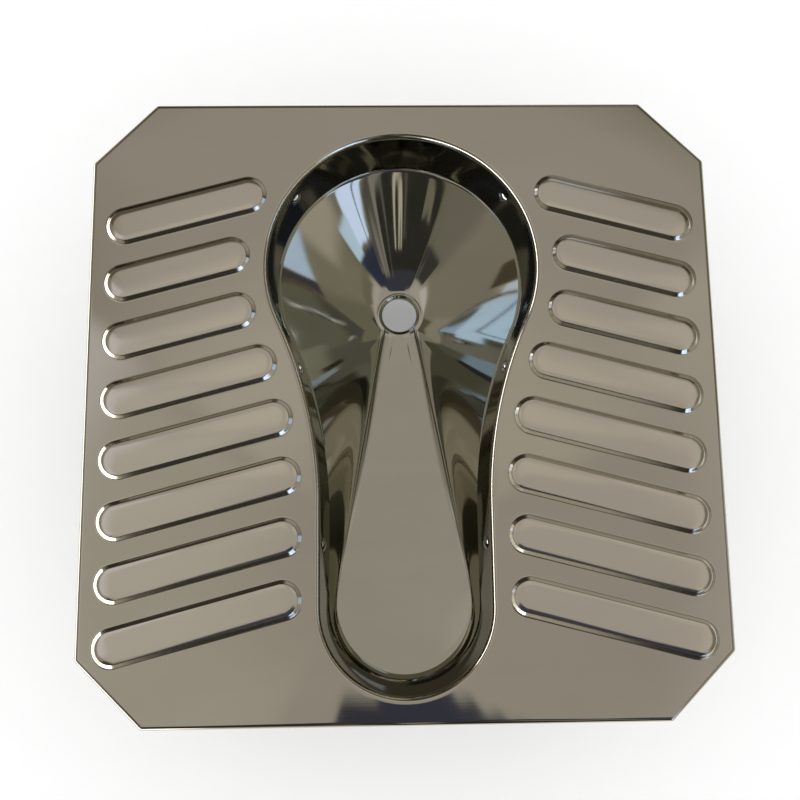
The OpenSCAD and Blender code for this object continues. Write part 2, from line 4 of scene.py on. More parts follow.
import bmesh
import bpy
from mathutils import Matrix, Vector


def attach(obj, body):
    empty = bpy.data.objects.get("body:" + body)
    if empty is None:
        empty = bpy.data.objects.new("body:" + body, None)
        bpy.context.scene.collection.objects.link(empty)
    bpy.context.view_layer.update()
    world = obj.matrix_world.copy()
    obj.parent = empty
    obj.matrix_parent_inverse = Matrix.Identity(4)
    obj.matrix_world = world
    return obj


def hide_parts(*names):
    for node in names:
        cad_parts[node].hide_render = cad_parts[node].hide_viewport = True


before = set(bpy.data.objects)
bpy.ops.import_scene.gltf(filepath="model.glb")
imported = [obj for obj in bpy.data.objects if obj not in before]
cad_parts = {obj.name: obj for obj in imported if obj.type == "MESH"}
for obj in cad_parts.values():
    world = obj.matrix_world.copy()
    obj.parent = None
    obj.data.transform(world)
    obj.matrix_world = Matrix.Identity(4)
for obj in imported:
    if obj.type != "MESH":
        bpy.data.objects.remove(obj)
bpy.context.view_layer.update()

# ---------- sizes in mm and degrees: the part's own, with finer forms of the rim, treads and bowl ----------

DECK_W, DECK_L, DECK_H = 600.0, 594.0, 262.0
CORNER_CUT, CORNER_R, SHEET, SKIRT_H, FOLD_R = 61.0, 5.0, 1.5, 22.0, 4.0
MOUTH_R, SLOT_HALF, WAIST_R, RIM_R, RIM_DROP = 134.0, 83.0, 418.0, 4.4, 7.0
MOUTH_Y = DECK_L / 2 - 31.0 - MOUTH_R
SLOT_Y = 21.0 + SLOT_HALF - DECK_L / 2
COLLAR_DEPTH, COLLAR_INSET, FOOT_FLANGE = 69.0, 9.3, 11.0
OUTLET_R, LIP_R = 18.6, 23.0
OUTLET_Y = MOUTH_Y - 17.6
FRONT_CURVE, SIDE_CURVE, RIDGE_H, RIDGE_SPREAD = 1.7, 1.55, 3.2, 23.5
TONGUE_R, TONGUE_TAPER, TONGUE_STEP, TONGUE_SAG = 68.5, 10.2, 7.5, 2.0
TONGUE_Y = SLOT_Y - 3.0
TREAD_PITCH, TREAD_FIRST_Y, TREAD_COUNT = 56.6, DECK_L / 2 - 125.5, 8
TREAD_ANGLE, TREAD_R, TREAD_H, TREAD_GAP, TREAD_MARGIN = 14.7, 18.5, 3.4, 12.0, 15.5
TREAD_SIDE, TREAD_ROUND, TREAD_SHOULDER = 4.2, 0.15, 0.9
FOLD_Y, SAG_L, CONE = 42.0, 300.0, 0.2
LIP_ROLL, LIP_DROP, LIP_BEAD, LIP_BEAD_W, LIP_BEAD_IN = 3.0, 1.4, 1.0, 1.7, 0.4
TONGUE_BEAD, TONGUE_BEAD_W = 1.4, 2.4
RIDGE_RISE, RIDGE_FALL, RIDGE_BACK = 2.75 * RIDGE_H, 0.65, 30.0
FLUTES = ((0.10, 8.7, 0.0), (0.06, 5.3, 0.6), (0.02, 2.9, 0.0))  # height in mm, spacing in degrees, phase

# Flat sheet kept round the mouth's rim, inside the outer fold and round each tread.
RIM_BORDER, FOLD_BORDER, TREAD_BORDER = 6.0, 4.8, 1.2

# Segments: of the mouth line, the rolled rim and fold, a deck corner, the collar, a tread and the bowl.
WIDE_N, WAIST_N, STRAIGHT_N, REAR_N = 72, 28, 8, 48
RIM_N, FOLD_N, CORNER_N, COLLAR_N = 16, 10, 6, 8
END_N, LONG_N, SIDE_N = 28, 12, 12
FRONT_STATIONS, SIDE_STATIONS, REAR_STATIONS = 100, 90, 44
LIP_N, FLOOR_N, WALL_N = 10, 22, 56
WALL_SPREAD = 1.25  # over 1, the wall's rows stand closer together near the tongue
SLOPE_FROM = 0.02  # least share of the wall's run at which its slope is taken

TAPER_A = radians(TONGUE_TAPER)
WAIST_X = SLOT_HALF + WAIST_R
WAIST_A = acos(WAIST_X / (MOUTH_R + WAIST_R))
WAIST_Y = MOUTH_Y - (MOUTH_R + WAIST_R) * sin(WAIST_A)
FOOT_Z = DECK_H - COLLAR_DEPTH
BOWL_ZO = DECK_H - 129.5
BOWL_ZR = FOOT_Z - TONGUE_STEP
TREAD_X = DECK_W / 2 - TREAD_MARGIN - TREAD_R
MM = 0.001


# ---------- shared geometry ----------

def arc(start, end, n):
    """n + 1 angles in radians, from start to end."""
    return [start + (end - start) * k / n for k in range(n + 1)]


def mouth_half():
    """Right half of the mouth line, front to rear: x, y and the outward normal."""
    line = []
    for a in arc(pi / 2, -WAIST_A, WIDE_N):
        line.append((MOUTH_R * cos(a), MOUTH_Y + MOUTH_R * sin(a), cos(a), sin(a)))
    for a in arc(WAIST_A, 0, WAIST_N)[1:]:
        line.append((WAIST_X - WAIST_R * cos(a), WAIST_Y + WAIST_R * sin(a), cos(a), -sin(a)))
    for k in range(1, STRAIGHT_N + 1):
        line.append((SLOT_HALF, WAIST_Y + (SLOT_Y - WAIST_Y) * k / STRAIGHT_N, 1.0, 0.0))
    for a in arc(0, -pi / 2, REAR_N)[1:]:
        line.append((SLOT_HALF * cos(a), SLOT_Y + SLOT_HALF * sin(a), cos(a), sin(a)))
    return line


def mouth_loop():
    """The whole mouth line as a closed loop."""
    half = mouth_half()
    return half + [(-x, y, -nx, ny) for x, y, nx, ny in half[-2:0:-1]]


def half_w(y, q):
    """Half width, at y, of the mouth line moved outward by q."""
    if y >= MOUTH_Y - (MOUTH_R + q) * sin(WAIST_A):
        return sqrt(max(0.0, (MOUTH_R + q) ** 2 - (y - MOUTH_Y) ** 2))
    if y >= WAIST_Y:
        return WAIST_X - sqrt((WAIST_R - q) ** 2 - (y - WAIST_Y) ** 2)
    if y >= SLOT_Y:
        return SLOT_HALF + q
    return sqrt(max(0.0, (SLOT_HALF + q) ** 2 - (y - SLOT_Y) ** 2))


def add_ring(bm, points):
    """Vertices of one closed ring, given in mm."""
    return [bm.verts.new((x * MM, y * MM, z * MM)) for x, y, z in points]


def mouth_rings(bm, profile):
    """Rings along the mouth line, one for each distance outward and height over the deck in the profile."""
    loop = mouth_loop()
    return [add_ring(bm, [(x + nx * q, y + ny * q, DECK_H + z) for x, y, nx, ny in loop]) for q, z in profile]


def skin(bm, a, b):
    """Quads between two closed rings of the same length."""
    n = len(a)
    return [bm.faces.new((a[i], a[(i + 1) % n], b[(i + 1) % n], b[i])) for i in range(n)]


def smooth(mesh, sharp=40):
    """Smooth shading, but for edges sharper than the angle in degrees."""
    mesh.shade_smooth()
    mesh.set_sharp_from_angle(angle=radians(sharp))


def make_object(bm, name, sharp=40):
    """Object made from bm, with smooth shading."""
    mesh = bpy.data.meshes.new(name)
    bm.to_mesh(mesh)
    bm.free()
    smooth(mesh, sharp)
    obj = bpy.data.objects.new(name, mesh)
    bpy.context.scene.collection.objects.link(obj)
    return obj


def thicken(obj):
    """Gives a sheet its thickness on the side its normals point away from."""
    mod = obj.modifiers.new("sheet", "SOLIDIFY")
    mod.thickness, mod.offset, mod.use_even_offset = SHEET * MM, -1.0, True
    graph = bpy.context.evaluated_depsgraph_get()
    mesh = bpy.data.meshes.new_from_object(obj.evaluated_get(graph))
    obj.modifiers.clear()
    obj.data = mesh
    smooth(mesh)


# ---------- deck plate ----------

def octagon(inset, z):
    """Closed loop of the deck outline moved inward, with small round corners."""
    w, l = DECK_W / 2, DECK_L / 2
    raw = [(w, l - CORNER_CUT), (w - CORNER_CUT, l), (CORNER_CUT - w, l), (-w, l - CORNER_CUT),
           (-w, CORNER_CUT - l), (CORNER_CUT - w, -l), (w - CORNER_CUT, -l), (w, CORNER_CUT - l)]
    loop = []
    for i, (x, y) in enumerate(raw):
        before, after = Vector(raw[i - 1]), Vector(raw[(i + 1) % 8])
        here = Vector((x, y))
        u, v = (before - here).normalized(), (after - here).normalized()
        half = u.angle(v) / 2
        centre = here + (u + v).normalized() * CORNER_R / sin(half)
        a0 = atan2(-u.y, -u.x) - pi / 2
        turn = pi - 2 * half
        r = CORNER_R - inset
        for k in range(CORNER_N + 1):
            a = a0 + turn * k / CORNER_N
            loop.append((centre.x + r * cos(a), centre.y + r * sin(a), z))
    return loop


TOP_FINISH, EDGE_FINISH = 1, 2  # material slots of the deck; the flat sheet has 0
TOP_RINGS = (10.0, 7.0, 3.0)  # rings on a tread's top, by their distance from its centre line


def tread_ends(i, side):
    """Outer end, direction and length of a tread. Its inner end keeps its gap from the mouth line."""
    yo, x = TREAD_FIRST_Y - i * TREAD_PITCH, MOUTH_R
    slope = tan(radians(TREAD_ANGLE))
    for _ in range(12):
        x = half_w(yo + (TREAD_X - x) * slope, TREAD_R + TREAD_GAP)
    length = (TREAD_X - x) / cos(radians(TREAD_ANGLE))
    d = Vector((-side * cos(radians(TREAD_ANGLE)), sin(radians(TREAD_ANGLE))))
    return Vector((side * TREAD_X, yo)), d, length


def tread_height(rho):
    """Height of the pressing at a distance from its centre line: an even slope, round at its foot and
    shoulder, and a slightly crowned top."""
    top, crown = TREAD_SHOULDER * TREAD_H, (1 - TREAD_SHOULDER) * TREAD_H
    flat = TREAD_R - TREAD_SIDE
    if rho >= TREAD_R:
        return 0.0
    if rho <= flat:
        return top + crown * (1 - (rho / flat) ** 2)
    u, b = (TREAD_R - rho) / TREAD_SIDE, TREAD_ROUND
    if u < b:
        rise = u * u / (2 * b)
    elif u < 1 - b:
        rise = u - b / 2
    else:
        rise = 1 - b - (1 - u) ** 2 / (2 * b)
    return top * rise / (1 - b)


def tread_ring(start, d, length, rho):
    """Points all round a tread, at one distance from its centre line, that start at its outer end."""
    across, base = Vector((-d.y, d.x)) * rho, atan2(d.y, d.x)
    outer = [start + rho * Vector((cos(base + a), sin(base + a))) for a in arc(pi / 2, 3 * pi / 2, END_N)]
    end = start + d * length
    inner = [end + rho * Vector((cos(base + a), sin(base + a))) for a in arc(-pi / 2, pi / 2, END_N)]
    line = [start + d * (length * k / LONG_N) for k in range(1, LONG_N)]
    return outer + [p - across for p in line] + inner + [p + across for p in line[::-1]]


def add_tread(bm, start, d, length):
    """One pressed tread, its top and sides in finishes of their own, painted lighter than the deck as painted
    light. Returns its outermost, flat ring.
    """
    side = [TREAD_R - TREAD_SIDE * k / SIDE_N for k in range(SIDE_N + 1)]
    rows = []
    for rho in [TREAD_R + TREAD_BORDER, *side, *TOP_RINGS]:
        z = DECK_H + tread_height(rho)
        rows.append(add_ring(bm, [(p.x, p.y, z) for p in tread_ring(start, d, length, rho)]))
    # Tops and sides get lighter copies of the deck steel: painted light on the tops, a painted highlight on
    # the sides.
    painted_light_tops, drawn = [], []
    for k, (a, b) in enumerate(zip(rows, rows[1:])):
        faces = skin(bm, a, b)
        painted_light_tops += faces if k > SIDE_N else []
        drawn += faces if 0 < k <= SIDE_N else []
    line = [start + d * (length * k / LONG_N) for k in range(LONG_N + 1)]
    mid = add_ring(bm, [(p.x, p.y, DECK_H + TREAD_H) for p in line])
    last, far = rows[-1], END_N + LONG_N
    for k in range(END_N):
        painted_light_tops.append(bm.faces.new((last[k], last[k + 1], mid[0])))
        painted_light_tops.append(bm.faces.new((last[far + k], last[far + k + 1], mid[LONG_N])))
    for k in range(LONG_N):
        painted_light_tops.append(bm.faces.new((last[END_N + k], last[END_N + k + 1], mid[k + 1], mid[k])))
        j = far + END_N + k
        after = last[(j + 1) % len(last)]
        painted_light_tops.append(bm.faces.new((last[j], after, mid[LONG_N - 1 - k], mid[LONG_N - k])))
    for index, faces in ((TOP_FINISH, painted_light_tops), (EDGE_FINISH, drawn)):
        for face in faces:
            face.material_index = index
    return rows[0]


def fill_between(bm, rings):
    """Flat faces between closed rings of vertices."""
    edges = set()
    for ring in rings:
        for i, v in enumerate(ring):
            edges.add(bm.edges.get((v, ring[(i + 1) % len(ring)])))
    bmesh.ops.triangle_fill(bm, use_beauty=True, use_dissolve=False, edges=list(edges),
                            normal=(0, 0, 1))


def build_deck():
    """Deck sheet with its treads, rolled rim, rolled outer edge and skirt."""
    bm = bmesh.new()
    flat = [(RIM_BORDER, 0.0), (RIM_BORDER / 2, 0.0)]
    roll = [(-RIM_R * sin(a), RIM_DROP * cos(a) - RIM_DROP) for a in arc(0, pi / 2, RIM_N)]
    rows = mouth_rings(bm, flat + roll)
    for k, (a, b) in enumerate(zip(rows, rows[1:])):
        for face in skin(bm, a, b):
            # The rolled rim takes the lighter edge steel, a painted highlight.
            face.material_index = EDGE_FINISH if k >= len(flat) else 0
    edge = [(FOLD_BORDER, 0.0)]
    edge += [(FOLD_R - FOLD_R * sin(a), FOLD_R * cos(a) - FOLD_R) for a in arc(0, pi / 2, FOLD_N)]
    edge += [(0.0, -(FOLD_R + SKIRT_H) / 2), (0.0, -SKIRT_H)]
    outer = [add_ring(bm, octagon(q, DECK_H + z)) for q, z in edge]
    for a, b in zip(outer, outer[1:]):
        skin(bm, a, b)
    rings = [rows[0], outer[0]]
    for side in (1, -1):
        for i in range(TREAD_COUNT):
            rings.append(add_tread(bm, *tread_ends(i, side)))
    fill_between(bm, rings)
    bmesh.ops.recalc_face_normals(bm, faces=bm.faces[:])
    top = max(bm.faces, key=lambda f: f.calc_center_median().z)
    if top.normal.z < 0:
        bmesh.ops.reverse_faces(bm, faces=bm.faces[:])
    obj = make_object(bm, "deck_sheet")
    thicken(obj)
    return obj


# ---------- collar ----------

def build_collar():
    """Wall round the mouth, from the rim roll down to the foot flange."""
    bm = bmesh.new()
    drop = COLLAR_DEPTH - RIM_DROP
    fall = COLLAR_INSET - RIM_R
    flange, floor = FOOT_FLANGE - COLLAR_INSET, SHEET - COLLAR_DEPTH
    profile = [(-RIM_R - fall * k / COLLAR_N, -RIM_DROP - drop * k / COLLAR_N) for k in range(COLLAR_N + 1)]
    profile += [(flange, -COLLAR_DEPTH), (flange, floor)]
    profile += [(SHEET - RIM_R - fall * (drop - SHEET) / drop, floor), (SHEET - RIM_R, -RIM_DROP)]
    rows = mouth_rings(bm, profile)
    for a, b in zip(rows, rows[1:] + rows[:1]):
        skin(bm, a, b)
    bmesh.ops.recalc_face_normals(bm, faces=bm.faces[:])
    return make_object(bm, "collar_wall")


# ---------- bowl ----------

# The tongue's side is straight from the outlet's lip, at the angle JOIN_A, to its end arc, at SIDE_X, SIDE_Y.
SIDE_OFF = TONGUE_R + (TONGUE_Y - OUTLET_Y) * sin(TAPER_A)
JOIN_A = TAPER_A - acos(SIDE_OFF / LIP_R)
SIDE_X, SIDE_Y = TONGUE_R * cos(TAPER_A), TONGUE_Y + TONGUE_R * sin(TAPER_A)
TONGUE_Y0, TONGUE_Y1 = OUTLET_Y - LIP_R, TONGUE_Y - TONGUE_R


def tongue_z(y):
    """Height of the tongue's floor, which falls evenly to the outlet lip."""
    if y > TONGUE_Y0:
        return BOWL_ZO
    return BOWL_ZO + (BOWL_ZR - BOWL_ZO) * (TONGUE_Y0 - y) / (TONGUE_Y0 - TONGUE_Y1)


def bowl_stations():
    """Right half of the bowl, front to rear: foot point, lip or tongue point, hollowness, and whether the
    tongue sags there. The front stations stand round the outlet's lip, the side ones along the tongue and the
    rear ones round its end."""
    out = []
    r, round_r = MOUTH_R - COLLAR_INSET, WAIST_R + COLLAR_INSET
    turn, back = pi / 2 + WAIST_A, WAIST_A - asin((FOLD_Y - WAIST_Y) / round_r)
    for i in range(FRONT_STATIONS):
        k = i / FRONT_STATIONS
        t = pi / 2 + (JOIN_A - pi / 2) * k * (1 + k - k * k)
        p = FRONT_CURVE + (SIDE_CURVE - FRONT_CURVE) * (0.5 - 0.5 * cos(pi * k))
        run = k * (r * turn + round_r * back)
        if run < r * turn:
            f = pi / 2 - run / r
            x, y = r * cos(f), MOUTH_Y + r * sin(f)
        else:
            f = WAIST_A - (run - r * turn) / round_r
            x, y = WAIST_X - round_r * cos(f), WAIST_Y + round_r * sin(f)
        out.append((x, y, LIP_R * cos(t), OUTLET_Y + LIP_R * sin(t), p, 0))
    xj, yj = LIP_R * cos(JOIN_A), OUTLET_Y + LIP_R * sin(JOIN_A)
    for i in range(SIDE_STATIONS):
        k = i / SIDE_STATIONS
        y = FOLD_Y + (SLOT_Y - FOLD_Y) * k
        k = k * k * (2 - k)
        tx, ty = xj + (SIDE_X - xj) * k, yj + (SIDE_Y - yj) * k
        out.append((half_w(y, -COLLAR_INSET), y, tx, ty, SIDE_CURVE, 1))
    r = SLOT_HALF - COLLAR_INSET
    for i in range(REAR_STATIONS + 1):
        k = i / REAR_STATIONS
        f, t = -pi / 2 * k, TAPER_A - (pi / 2 + TAPER_A) * k
        tx, ty = TONGUE_R * cos(t), TONGUE_Y + TONGUE_R * sin(t)
        out.append((r * cos(f), SLOT_Y + r * sin(f), tx, ty, SIDE_CURVE, 1))
    return out


def lip_height(x, y):
    """Small relief round the outlet: a bead, and an edge that rolls down into the hole."""
    rho = hypot(x, y - OUTLET_Y)
    roll = min(1.0, max(0.0, (OUTLET_R + LIP_ROLL - rho) / LIP_ROLL))
    bead = LIP_BEAD * exp(-((rho - LIP_R + LIP_BEAD_IN) / LIP_BEAD_W) ** 2)
    return bead - LIP_DROP * (1 - sqrt(1 - roll * roll))


def tongue_bead(distance):
    """Height of the bead along the tongue's edge."""
    return TONGUE_BEAD * exp(-(distance / TONGUE_BEAD_W) ** 2)


def front_relief(x, y, u):
    """The soft ridge in front of the outlet and the faint draw flutes on it, which fade out up the wall."""
    if y < OUTLET_Y - RIDGE_BACK:
        return 0.0
    phi = degrees(atan2(x, y - OUTLET_Y))
    fan = exp(-(phi / RIDGE_SPREAD) ** 2 / 2) * u
    flutes = sum(height * cos(2 * pi * phi / spacing + phase) for height, spacing, phase in FLUTES)
    return fan * (RIDGE_RISE * (1 - u) ** RIDGE_FALL + flutes * (1 - u ** 6))


def bowl_column(station):
    """Points of one station from the outlet hole to the flange, with the height of the sheet's underside."""
    fx, fy, tx, ty, p, sags = station
    a = atan2(ty - OUTLET_Y, tx)
    hx, hy = OUTLET_R * cos(a), OUTLET_Y + OUTLET_R * sin(a)
    zt = tongue_z(ty)
    run = hypot(fx - tx, fy - ty)
    far = hypot(tx - hx, ty - hy)
    lip = min(far, LIP_R - OUTLET_R) / far
    steps = [lip * k / LIP_N for k in range(LIP_N)]
    if far > 2 * (LIP_R - OUTLET_R):
        steps += [1 - (1 - lip) * (1 - k / FLOOR_N) ** 2 for k in range(FLOOR_N)]
    else:
        steps += [lip + (1 - lip) * k / FLOOR_N for k in range(FLOOR_N)]
    col = []
    for u in steps:
        x, y = hx + (tx - hx) * u, hy + (ty - hy) * u
        dip = TONGUE_SAG * sin(pi * min(1, max(0, (OUTLET_Y - y) / SAG_L))) if sags else 0
        z = tongue_z(y) - dip * (1 - u * u)
        bead = tongue_bead((1 - u) * far) if sags else 0
        lift = lip_height(x, y)
        col.append((x, y, z + (max(lift, bead) if lift >= 0 else lift), z - SHEET))
    for j in range(WALL_N + 1):
        u = (j / WALL_N) ** WALL_SPREAD
        x, y = tx + (fx - tx) * u, ty + (fy - ty) * u
        rise = CONE * u + (1 - CONE) * u ** p
        slope = (FOOT_Z - zt) * (CONE + (1 - CONE) * p * max(u, SLOPE_FROM) ** (p - 1)) / run
        bead = tongue_bead(u * run) if sags else 0
        z = zt + (FOOT_Z - zt) * rise + front_relief(x, y, u)
        col.append((x, y, z + max(lip_height(x, y), bead), z - SHEET * sqrt(1 + slope * slope)))
    if fy >= MOUTH_Y - MOUTH_R * sin(WAIST_A):
        d = Vector((fx, fy - MOUTH_Y))
    elif fy >= WAIST_Y:
        d = Vector((WAIST_X - fx, WAIST_Y - fy))
    elif fy >= SLOT_Y:
        d = Vector((1, 0))
    else:
        d = Vector((fx, fy - SLOT_Y))
    d = d.normalized() * FOOT_FLANGE
    col.append((fx + d.x, fy + d.y, FOOT_Z, FOOT_Z - SHEET))
    return col


def build_bowl():
    """Drawn bowl: a funnel at the front that runs back as a teardrop tongue, with its flange."""
    half = [bowl_column(s) for s in bowl_stations()]
    cols = half + [[(-x, y, z, low) for x, y, z, low in c] for c in half[-2:0:-1]]
    bm = bmesh.new()
    m = len(cols[0])
    top = [add_ring(bm, [(c[j][0], c[j][1], c[j][2]) for c in cols]) for j in range(m)]
    low = [add_ring(bm, [(c[j][0], c[j][1], c[j][3]) for c in cols]) for j in range(m)]
    rows = top + low[::-1]
    for a, b in zip(rows, rows[1:] + rows[:1]):
        skin(bm, a, b)
    bmesh.ops.recalc_face_normals(bm, faces=bm.faces[:])
    return make_object(bm, "bowl_drawn", 50)


# ---------- materials ----------

class Nodes:
    """Short calls for building one node tree."""

    def __init__(self, tree):
        self.tree = tree
        tree.nodes.clear()

    def add(self, kind, values=None, **settings):
        node = self.tree.nodes.new(kind)
        for key, value in settings.items():
            setattr(node, key, value)
        for key, value in (values or {}).items():
            if isinstance(value, bpy.types.NodeSocket):
                self.tree.links.new(value, node.inputs[key])
            else:
                node.inputs[key].default_value = value
        return node

    def math(self, operation, a, b=0.0):
        return self.add("ShaderNodeMath", {0: a, 1: b}, operation=operation).outputs[0]

    def noise(self, vector, scale, detail=3.0, roughness=0.5, distortion=0.0):
        values = {"Vector": vector, "Scale": scale, "Detail": detail, "Roughness": roughness,
                  "Distortion": distortion}
        return self.add("ShaderNodeTexNoise", values).outputs["Fac"]

    def remap(self, value, a0, a1, b0, b1):
        values = {"Value": value, "From Min": a0, "From Max": a1, "To Min": b0, "To Max": b1}
        return self.add("ShaderNodeMapRange", values).outputs["Result"]

    def mix(self, factor, a, b):
        node = self.add("ShaderNodeMix", data_type="RGBA")
        for socket, value in ((node.inputs[0], factor), (node.inputs[6], a), (node.inputs[7], b)):
            if isinstance(value, bpy.types.NodeSocket):
                self.tree.links.new(value, socket)
            else:
                socket.default_value = value if isinstance(value, float) else (*value, 1.0)
        return node.outputs[2]

    def stretch(self, vector, scale):
        return self.add("ShaderNodeMapping", {"Vector": vector, "Scale": scale}).outputs["Vector"]

    def bump(self, height, distance, normal=None):
        values = {"Height": height, "Distance": distance, "Strength": 1.0}
        if normal is not None:
            values["Normal"] = normal
        return self.add("ShaderNodeBump", values).outputs["Normal"]


def new_material(name):
    """Empty node material, its nodes and the object's own coordinates in metres."""
    mat = bpy.data.materials.new(name)
    mat.use_nodes = True
    nodes = Nodes(mat.node_tree)
    place = nodes.add("ShaderNodeTexCoord").outputs["Object"]
    return mat, nodes, place


def end_material(nodes, values):
    """Principled shader with these sockets, on the material's output."""
    shader = nodes.add("ShaderNodeBsdfPrincipled", values)
    out = nodes.add("ShaderNodeOutputMaterial")
    nodes.tree.links.new(shader.outputs[0], out.inputs[0])


def sheet_steel(name, light, dark, rough, wave, grain=(14.0, 900.0, 900.0), grain_depth=0.000002, painted_shade=None):
    """Pressed stainless sheet: soft dents, a fine brushed grain, hairline scratches and wipe marks. A band of
    painted shade is given as the y in metres where it starts, the y where it is full, and its colour."""
    mat, n, place = new_material(name)
    cloud = n.noise(place, 6.0, 4.0, 0.55)
    wipe = n.noise(n.stretch(place, (3.0, 14.0, 8.0)), 1.6, 5.0, 0.6, 0.6)
    fine = n.noise(n.stretch(place, grain), 1.0, 2.0, 0.6)
    line = n.noise(n.stretch(place, (30.0, 700.0, 300.0)), 1.0, 1.0, 0.4, 1.5)
    scratch = n.remap(line, 0.70, 0.76, 0.0, 1.0)
    tone = n.math("ADD", n.math("MULTIPLY", cloud, 0.5), n.math("MULTIPLY", wipe, 0.5))
    colour = n.mix(n.remap(tone, 0.35, 0.65, 0.0, 1.0), dark, light)
    # Painted shade: the colour darkens along y towards the given tint.
    if painted_shade:
        start, full, tint = painted_shade
        back = n.add("ShaderNodeSeparateXYZ", {0: place}).outputs[1]
        back = n.math("ADD", back, n.math("MULTIPLY", n.math("SUBTRACT", cloud, 0.5), 0.08))
        colour = n.mix(n.remap(back, start, full, 0.0, 1.0), colour, tint)
    rough_a = n.remap(n.math("ADD", wipe, n.math("MULTIPLY", fine, 0.35)), 0.45, 0.95, rough[0], rough[1])
    roughness = n.math("ADD", rough_a, n.math("MULTIPLY", scratch, 0.05))
    dent = n.bump(n.noise(place, 9.0, 1.5, 0.4), wave)
    brushed = n.bump(fine, grain_depth, dent)
    end_material(n, {"Base Color": colour, "Metallic": 1.0, "Roughness": roughness, "Normal": brushed})
    return mat


def bar_steel(name, light, dark, rough):
    """Mill-finish steel of the hidden frame and tubes, with dull patches."""
    mat, n, place = new_material(name)
    cloud = n.noise(place, 22.0, 4.0, 0.6)
    fine = n.noise(n.stretch(place, (400.0, 400.0, 60.0)), 1.0, 3.0, 0.6)
    colour = n.mix(n.remap(cloud, 0.3, 0.7, 0.0, 1.0), dark, light)
    roughness = n.remap(n.math("ADD", cloud, n.math("MULTIPLY", fine, 0.5)), 0.5, 1.1, rough[0], rough[1])
    end_material(n, {"Base Color": colour, "Metallic": 1.0, "Roughness": roughness,
                     "Normal": n.bump(fine, 0.00002)})
    return mat


def cast_metal(name, light, dark, rough):
    """Small turned fittings: fine turning marks and tarnish."""
    mat, n, place = new_material(name)
    tarnish = n.noise(place, 90.0, 4.0, 0.65)
    turn = n.noise(n.stretch(place, (300.0, 300.0, 2500.0)), 1.0, 2.0)
    colour = n.mix(n.remap(tarnish, 0.35, 0.7, 0.0, 1.0), light, dark)
    roughness = n.remap(n.math("ADD", tarnish, n.math("MULTIPLY", turn, 0.4)), 0.45, 1.0, rough[0], rough[1])
    end_material(n, {"Base Color": colour, "Metallic": 1.0, "Roughness": roughness,
                     "Normal": n.bump(turn, 0.00001)})
    return mat


def rubber(name):
    """Dark gasket rubber with a dusty bloom."""
    mat, n, place = new_material(name)
    dust = n.noise(place, 180.0, 5.0, 0.7)
    colour = n.mix(n.remap(dust, 0.35, 0.75, 0.0, 1.0), (0.014, 0.014, 0.015), (0.05, 0.048, 0.045))
    end_material(n, {"Base Color": colour, "Roughness": n.remap(dust, 0.3, 0.7, 0.55, 0.8),
                     "Normal": n.bump(dust, 0.00008)})
    return mat


# ---------- pieces ----------

deck, collar, bowl = build_deck(), build_collar(), build_bowl()

WALL_GRAIN, WALL_GRAIN_DEPTH = (900.0, 900.0, 30.0), 0.0000005
# Painted shade on the collar wall, darker towards the rear.
REAR_PAINTED_SHADE = (-0.02, -0.11, (0.11, 0.105, 0.085))
DECK_STEEL = sheet_steel("steel_deck", (0.54, 0.495, 0.415), (0.51, 0.465, 0.385), (0.025, 0.055), 0.0002)
# Painted light: the tread tops are a lighter copy of the deck steel.
TREAD_STEEL = sheet_steel("steel_tread", (0.66, 0.60, 0.51), (0.63, 0.57, 0.485), (0.06, 0.11), 0.0004)
# Painted highlight: the rolled rim and tread sides are a lighter copy of the deck steel; their rougher finish
# is the drawn sheet's own.
EDGE_STEEL = sheet_steel("steel_drawn_edge", (0.60, 0.55, 0.46), (0.56, 0.51, 0.43), (0.10, 0.17), 0.0004)
BOWL_STEEL = sheet_steel("steel_bowl", (0.54, 0.51, 0.43), (0.50, 0.475, 0.39), (0.045, 0.085), 0.0004,
                         WALL_GRAIN, WALL_GRAIN_DEPTH)
# Painted shade: the collar steel is a darker, greener copy of the bowl steel.
COLLAR_STEEL = sheet_steel("steel_collar", (0.43, 0.455, 0.44), (0.38, 0.405, 0.395), (0.045, 0.08), 0.0004,
                           WALL_GRAIN, WALL_GRAIN_DEPTH, REAR_PAINTED_SHADE)
PLAIN_STEEL = bar_steel("steel_plain", (0.58, 0.56, 0.53), (0.42, 0.40, 0.38), (0.28, 0.42))
CHROME = cast_metal("nozzle_chrome", (0.80, 0.80, 0.80), (0.66, 0.65, 0.63), (0.05, 0.14))
BRASS = cast_metal("fitting_brass", (0.74, 0.56, 0.27), (0.50, 0.36, 0.17), (0.22, 0.42))
RUBBER = rubber("seal_rubber")

for piece, node, material in ((deck, "deck_plate", DECK_STEEL), (collar, "collar", COLLAR_STEEL),
                              (bowl, "bowl", BOWL_STEEL)):
    piece.data.materials.append(material)
    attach(piece, "root")
    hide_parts(node)

for material in (TREAD_STEEL, EDGE_STEEL):
    deck.data.materials.append(material)

FINISH = {"steel_plain": PLAIN_STEEL, "nozzle_chrome": CHROME, "fitting_brass": BRASS, "seal_rubber": RUBBER,
          "steel_polished": BOWL_STEEL}
for name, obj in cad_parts.items():
    if name == "nozzle_gaskets":
        kind = "seal_rubber"
    elif name == "nozzle_nuts" or name.startswith("tee_") or name == "inlet_spigot":
        kind = "fitting_brass"
    elif name.startswith("nozzle_"):
        kind = "nozzle_chrome"
    elif name in ("deck_plate", "collar", "bowl"):
        kind = "steel_polished"
    else:
        kind = "steel_plain"
    obj.data.materials.clear()
    obj.data.materials.append(FINISH[kind])


# ---------- studio ----------

FLOOR_HALF, FLOOR_GLOW = 8.0, 0.13
# Painted shade: the floor is painted grey under the outlet and loses its white glow there.
SHADE_IN, SHADE_OUT, PAINTED_SHADE_COLOUR = 0.04, 0.20, (0.66, 0.68, 0.70)  # darker floor under the outlet, in metres


